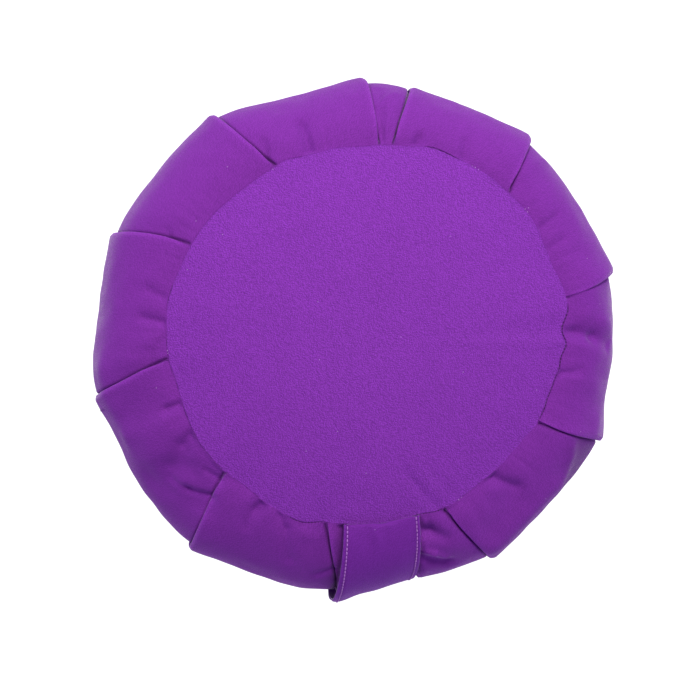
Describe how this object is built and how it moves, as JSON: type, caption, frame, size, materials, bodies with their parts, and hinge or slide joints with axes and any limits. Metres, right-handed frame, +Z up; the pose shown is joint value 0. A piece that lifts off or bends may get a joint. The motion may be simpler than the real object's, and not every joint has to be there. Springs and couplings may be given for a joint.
{
  "type": "zafu meditation cushion",
  "caption": "Round floor cushion with a crowned top panel, a side band laid in knife pleats, a flat bottom panel and a carry strap sewn from seam to seam down the side.",
  "frame": {"origin": "middle of the cushion's bounding box, on the surface that it rests on", "axes": "+Z up out of the top panel; +X is the picture's right and +Y the picture's top; the carry strap is at -Y"},
  "size_m": [0.3487, 0.3519, 0.135],
  "materials": {
    "side_cloth": "matt purple cotton canvas",
    "top_cloth": "matt purple cotton canvas",
    "bottom_cloth": "matt purple cotton canvas",
    "strap_cloth": "matt purple cotton canvas, folded and topstitched"
  },
  "bodies": {
    "root": {"filled_side_body": "side_cloth", "top_panel": "top_cloth", "bottom_panel": "bottom_cloth", "carry_strap": "strap_cloth"}
  },
  "joints": []
}
